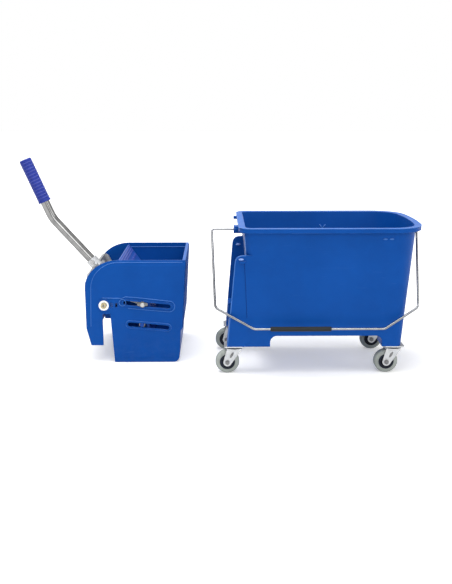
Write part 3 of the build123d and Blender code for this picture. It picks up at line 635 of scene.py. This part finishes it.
def make_fill_mark():
    """A small raised chevron inside the back wall, at the full level, in the paler blue of painted
    highlights.
    """
    full_level, wall_thickness = 0.277, 0.0032
    arm_width, arm_height, arm_lean = 0.007, 0.009, 0.0006
    bead_radius = 0.0009
    x, y = bucket_x + 0.009, wall_y(full_level, 1) - wall_thickness
    arm_y, arm_z = y + arm_lean, full_level + arm_height
    built = bmesh.new()
    path = [(x - arm_width, arm_y, arm_z), (x, y, full_level), (x + arm_width, arm_y, arm_z)]
    add_bead(built, path, bead_radius)
    add_piece("fill_mark", built, "bucket", "bucket_plastic", "painted_highlight_plastic")


def make_wheel_ribs(place):
    """Short ribs across the groove of each wheel's core, on both sides."""
    rib_count, groove_radius, root_depth = 10, 0.0096, 0.0019
    half_length, half_width, rise = 0.0029, 0.0009, 0.0014
    low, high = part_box("wheel_core_" + place)
    middle = (low + high) / 2
    built = bmesh.new()
    for face, out in ((low.y, -1), (high.y, 1)):
        floor = Vector((middle.x, face - out * root_depth, middle.z))
        for k in range(rib_count):
            turn = 2 * pi * k / rib_count
            way = Vector((cos(turn), 0, sin(turn)))
            root = floor + way * groove_radius
            add_pad(built, root, (0, out, 0), way, half_length, half_width, rise, steps=12)
    add_piece("wheel_ribs_" + place, built, "wheel_" + place, "wheel_plastic")


def make_fork_ridges(place):
    """A pressed ridge down the outside of each fork cheek, in darker steel as painted shade along it."""
    below_crown, fork_outside, ridge_share = 0.005, 0.0137, 0.66
    half_length, half_width, rise = 0.0072, 0.0026, 0.001
    plate = node_middle("castor_plate_" + place)
    axle = node_middle("axle_bolt_" + place)
    foot = Vector((axle.x, 0, axle.z))
    top = Vector((plate.x, 0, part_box("castor_fork_" + place)[1].z - below_crown))
    along = (top - foot).normalized()
    ridge = foot.lerp(top, ridge_share)
    built = bmesh.new()
    for out in (-1, 1):
        middle = (ridge.x, plate.y + out * fork_outside, ridge.z)
        add_pad(built, middle, (0, out, 0), along, half_length, half_width, rise)
    add_piece("fork_ridges_" + place, built, "fork_" + place, "bright_zinc", "dull_steel_and_shade")


def make_sleeve_lips():
    """A rolled lip at both ends of the bail's sleeve."""
    lip_inset, lip_thick = 0.001, 0.0009
    low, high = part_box("bail_grip")
    middle = (low + high) / 2
    radius = (high.z - low.z) / 2
    built = bmesh.new()
    for end in (low.x, high.x):
        add_ring(built, (end, middle.y, middle.z), (1, 0, 0), radius - lip_inset, lip_thick)
    add_piece("sleeve_lips", built, "bail_sleeve", "black_sleeve")


# Details of the wringer

def make_grip_rings():
    """Rounded rings all along the lever's grip, for the fingers."""
    grip_lean = radians(112.8)
    ring_gaps, ring_radius, ring_thick = 12, 0.0129, 0.0013
    low_margin, high_margin = 0.0095, 0.0085
    way = Vector((cos(grip_lean), 0, sin(grip_lean)))
    square = Vector((way.z, 0, -way.x))
    points = [v.co for v in cad["lever_grip"].data.vertices]
    reach = [q.dot(way) for q in points]
    width = [q.dot(square) for q in points]
    middle = square * ((min(width) + max(width)) / 2) + Vector((0, node_middle("lever_grip").y, 0))
    start, end = min(reach) + low_margin, max(reach) - high_margin
    built = bmesh.new()
    for k in range(ring_gaps + 1):
        at = middle + way * (start + (end - start) * k / ring_gaps)
        add_ring(built, at, way, ring_radius, ring_thick)
    add_piece("grip_rings", built, "lever", "grip_plastic", "grip_ring_and_sheen_plastic")


def make_press_studs():
    """Grip lines along the top of the press plate's face, and rows of low studs down to its knee, in a
    paler violet as painted sheen.
    """
    top_edge, half_plate, knee_height, side_margin = 0.0021, 0.0025, 0.132, 0.004
    face_lift = 0.0023  # from the middle of the plate to just under its face
    line_reaches, line_radius, line_steps = (0.004, 0.0095, 0.015), 0.0013, 8
    stud_rows, studs_each_way = (0.24, 0.43, 0.62, 0.81), 4
    stud_pitch, stud_radius, stud_rise = 0.022, 0.0042, 0.0018
    low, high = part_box("press_plate")
    middle_y = (low.y + high.y) / 2
    half = (high.y - low.y) / 2 - side_margin
    top = Vector((low.x + top_edge, 0, high.z - top_edge))
    knee = Vector((high.x - half_plate, 0, knee_height))
    slope = (knee - top).normalized()
    out = Vector((-slope.z, 0, slope.x))
    line_y = [middle_y + half * k / line_steps for k in range(-line_steps, line_steps + 1)]
    built = bmesh.new()
    for reach in line_reaches:
        at = top + slope * reach + out * face_lift
        add_bead(built, [(at.x, y, at.z) for y in line_y], line_radius)
    for row in stud_rows:
        at = top.lerp(knee, row) + out * face_lift
        for k in range(-studs_each_way, studs_each_way + 1):
            middle = (at.x, middle_y + stud_pitch * k, at.z)
            add_pad(built, middle, out, (0, 1, 0), stud_radius, stud_radius, stud_rise)
    add_piece("press_studs", built, "press", "press_plastic", "grip_ring_and_sheen_plastic")


def make_upright_ribs(name, each_way, pitch, foot, height, inset, radius):
    """Upright ribs across the wringer's end wall, so many each way from its middle."""
    steps = 12
    built = bmesh.new()
    for k in range(-each_way, each_way + 1):
        points = []
        for step in range(steps + 1):
            z = foot + height * step / steps
            x = housing_high.x - inset - (housing_high.z - z) * end_wall_lean
            points.append((x, housing_y + pitch * k, z))
        add_bead(built, points, radius)
    add_piece(name, built, "wringer", "bucket_plastic")


def make_end_wall_ribs():
    """Ribs inside the end wall, which the mop is pressed against."""
    make_upright_ribs(
        "end_wall_ribs", each_way=4, pitch=0.023, foot=0.022, height=0.19, inset=0.0068, radius=0.0024
    )


def make_end_panel_ribs():
    """Fine ribs all across the outside of the end panel."""
    make_upright_ribs(
        "end_panel_ribs", each_way=7, pitch=0.0154, foot=0.077, height=0.149, inset=0.0, radius=0.0016
    )


def make_slot_beads():
    """Beads over the pivot and round both guide slots, and a ring at the upper slot's start, pale as
    painted highlight lines.
    """
    upper_radius, lower_radius = 0.0009, 0.0008
    turns = [(-0.004, 0.1462), (0.040, 0.1452), (0.047, 0.1487), (0.072, 0.1468), (0.1435, 0.1385)]
    upper = []
    for (x0, z0), (x1, z1) in zip(turns, turns[1:]):
        upper += run_points((x0, z0), (x1 - x0, z1 - z0), 10)[:-1]
    upper += arc_points((0.1421, 0.1266), 0.0119, 83.0, -180.0)
    upper += run_points((0.1405, 0.1147), (-0.0885, 0.0081), 18, first=1)
    slot_middle, slot_height, slot_round = 0.096, 0.083, 0.0085
    lower = []
    for end, start in ((0.0552, 95.0), (0.1368, -85.0)):
        lower += arc_points((end, slot_height + (slot_middle - end) * slot_fall), slot_round, start, 180.0)
    ring_x, ring_z, ring_lift, ring_radius, ring_thick = 0.0405, 0.1358, 0.0016, 0.0072, 0.0008
    for name, side in sides:
        built = bmesh.new()
        face = housing_y + side * housing_half
        add_bead(built, [(pivot_x + x, face, z) for x, z in upper], upper_radius)
        ring_middle = (pivot_x + ring_x, face + side * ring_lift, ring_z)
        add_ring(built, ring_middle, (0, 1, 0), ring_radius, ring_thick, steps=32)
        add_bead(built, [(pivot_x + x, face, z) for x, z in lower], lower_radius, closed=True)
        add_piece("slot_bead_" + name, built, "wringer", "bucket_plastic", "painted_highlight_plastic")


def make_shoulder_beads():
    """A fine bead inside the curved shoulder of each side of the housing, pale as a painted highlight
    line.
    """
    bead_radius = 0.0007
    top_z, shoulder_x, shoulder_z = 0.2243, 0.0345, 0.167
    shoulder_length, shoulder_height, shoulder_steps = 0.0615, 0.0573, 24
    path = run_points((0.172, top_z), (-0.1375, 0), 30)[:-1]
    for k in range(shoulder_steps + 1):
        turn = pi / 2 * k / shoulder_steps
        path.append((shoulder_x - shoulder_length * sin(turn), shoulder_z + shoulder_height * cos(turn)))
    path += run_points((-0.027, shoulder_z), (-0.003, -0.085), 20, first=1)
    for name, side in sides:
        built = bmesh.new()
        add_bead(built, [on_face(housing_surface, pivot_x + x, z, side) for x, z in path], bead_radius)
        add_piece("shoulder_bead_" + name, built, "wringer", "bucket_plastic", "painted_highlight_plastic")


def make_inside_lip():
    """A fine line round the inside of the chamber's mouth: one side, the end wall, the other side; pale as
    a painted highlight line.
    """
    lip_z, line_radius, corner = 0.2185, 0.0008, 0.001
    side_wall, mouth_start, mouth_length, mouth_end = 0.004, 0.03, 0.1409, 0.1709
    side_steps, end_steps = 20, 10
    inside, end = housing_half - side_wall, pivot_x + mouth_end
    side_run = mouth_length - corner
    side_x = [pivot_x + mouth_start + side_run * k / side_steps for k in range(side_steps + 1)]
    end_y = [housing_y + (inside - corner) * k / end_steps for k in range(-end_steps, end_steps + 1)]
    path = [(x, housing_y - inside, lip_z) for x in side_x]
    path += [(end, y, lip_z) for y in end_y]
    path += [(x, housing_y + inside, lip_z) for x in reversed(side_x)]
    built = bmesh.new()
    add_bead(built, path, line_radius)
    add_piece("inside_lip", built, "wringer", "bucket_plastic", "painted_highlight_plastic")


def make_screw_cross():
    """The driver cross on the head of the front pivot screw, as a dark steel pad painted as the shade in
    its recess.
    """
    half_length, half_width, rise = 0.0042, 0.0011, 0.0004
    middle = node_middle("pivot_screw_front")
    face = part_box("pivot_screw_front")[0].y
    built = bmesh.new()
    for way in ((1, 0, 0.35), (-0.35, 0, 1)):
        add_pad(built, (middle.x, face, middle.z), (0, -1, 0), way, half_length, half_width, rise)
    add_piece("screw_cross", built, "wringer", "fastener_steel", "dull_steel_and_shade")


make_cheek_creases()
make_rim_bead()
make_shoulder_beads()
make_inside_lip()
make_screw_cross()
make_cheek_beads()
make_ledge_caps()
make_stacking_pads()
make_fill_mark()
for place in castor_places:
    make_wheel_ribs(place)
    make_fork_ridges(place)
make_sleeve_lips()
make_grip_rings()
make_press_studs()
make_end_wall_ribs()
make_end_panel_ribs()
make_slot_beads()


# Stage: pale floor, white all round, soft lights and the camera

white = (1, 1, 1)


def seen_white(tree):
    """One for rays that see the background: the camera's, and those off gloss or through glass."""
    path = new_node(tree, "LightPath").outputs
    bent = larger(tree, path["Is Glossy Ray"], path["Is Transmission Ray"])
    return larger(tree, path["Is Camera Ray"], bent)


def make_floor():
    """A pale floor that keeps the shadow near the set and fades to white away from it."""
    left, right, near, far = -9, 9, -6, 14
    pale, paler = (0.86, 0.86, 0.86), (0.88, 0.88, 0.88)
    fade_start, fade_end, glow_near = 0.5, 2.2, 0.34
    mesh = bpy.data.meshes.new("studio_floor")
    corners = [(left, near, 0), (right, near, 0), (right, far, 0), (left, far, 0)]
    mesh.from_pydata(corners, [], [(0, 1, 2, 3)])
    floor = bpy.data.objects.new("studio_floor", mesh)
    bpy.context.scene.collection.objects.link(floor)
    material, tree, shader = start_material("pale_floor")
    speckle = noise(tree, object_place(tree), 6.0, detail=4.0)
    colour = blend_colour(tree, spread(tree, speckle, 0.4, 0.6), pale, paler)
    tree.links.new(colour, shader.inputs["Base Color"])
    shader.inputs["Roughness"].default_value = 0.8
    shader.inputs["Specular IOR Level"].default_value = 0.2
    away = new_node(tree, "VectorMath", {0: object_place(tree)}, operation="LENGTH").outputs["Value"]
    glow = times(tree, seen_white(tree), spread(tree, away, fade_start, fade_end, glow_near, 1.0))
    shader.inputs["Emission Color"].default_value = (*white, 1)
    tree.links.new(glow, shader.inputs["Emission Strength"])
    mesh.materials.append(material)


def make_world():
    """White where it is seen, and a soft grey sky for the light it gives."""
    low_grey, high_grey, sky_strength = (0.5, 0.5, 0.52), (0.86, 0.86, 0.86), 0.62
    world = bpy.data.worlds.new("studio")
    bpy.context.scene.world = world
    world.use_nodes = True
    tree = world.node_tree
    back = tree.nodes["Background"]
    up = coordinate(tree, new_node(tree, "TexCoord").outputs["Generated"], "Z")
    shade = blend_colour(tree, spread(tree, up, -0.1, 0.9), low_grey, high_grey)
    seen = seen_white(tree)
    tree.links.new(blend_colour(tree, seen, shade, white), back.inputs["Color"])
    tree.links.new(spread(tree, seen, 0.0, 1.0, sky_strength, 1.0), back.inputs["Strength"])


def soft_light(name, place, aim, size, power):
    """A rectangular lamp that faces a point; its size is in metres and its power in watts."""
    data = bpy.data.lights.new(name, "AREA")
    data.shape = "RECTANGLE"
    data.size, data.size_y = size
    data.energy = power
    lamp = bpy.data.objects.new(name, data)
    lamp.location = place
    lamp.rotation_euler = (Vector(aim) - Vector(place)).to_track_quat("-Z", "Y").to_euler()
    bpy.context.scene.collection.objects.link(lamp)


def make_camera():
    """The camera that was fitted to the photograph; its pitch is below level, in degrees."""
    pitch, heading = 13.445, -0.685
    data = bpy.data.cameras.new("photo_camera")
    data.sensor_fit = "HORIZONTAL"
    data.sensor_width = 36.0
    data.lens = 62.99
    camera = bpy.data.objects.new("photo_camera", data)
    camera.location = (0.0022, -1.7254, 0.5576)
    camera.rotation_euler = (radians(90 - pitch), 0.0, radians(heading))
    bpy.context.scene.collection.objects.link(camera)
    bpy.context.scene.camera = camera


make_floor()
make_world()
soft_light("top_light", (-0.3, -0.2, 2.3), aim=(0.0, 0.0, 0.2), size=(2.2, 1.6), power=60.0)
soft_light("front_light", (0.5, -2.6, 1.35), aim=(0.0, 0.0, 0.2), size=(1.6, 1.2), power=19.0)
soft_light("right_light", (2.3, -0.9, 1.1), aim=(0.1, 0.0, 0.2), size=(0.9, 1.4), power=8.0)
make_camera()
bpy.context.scene.view_settings.view_transform = "Standard"
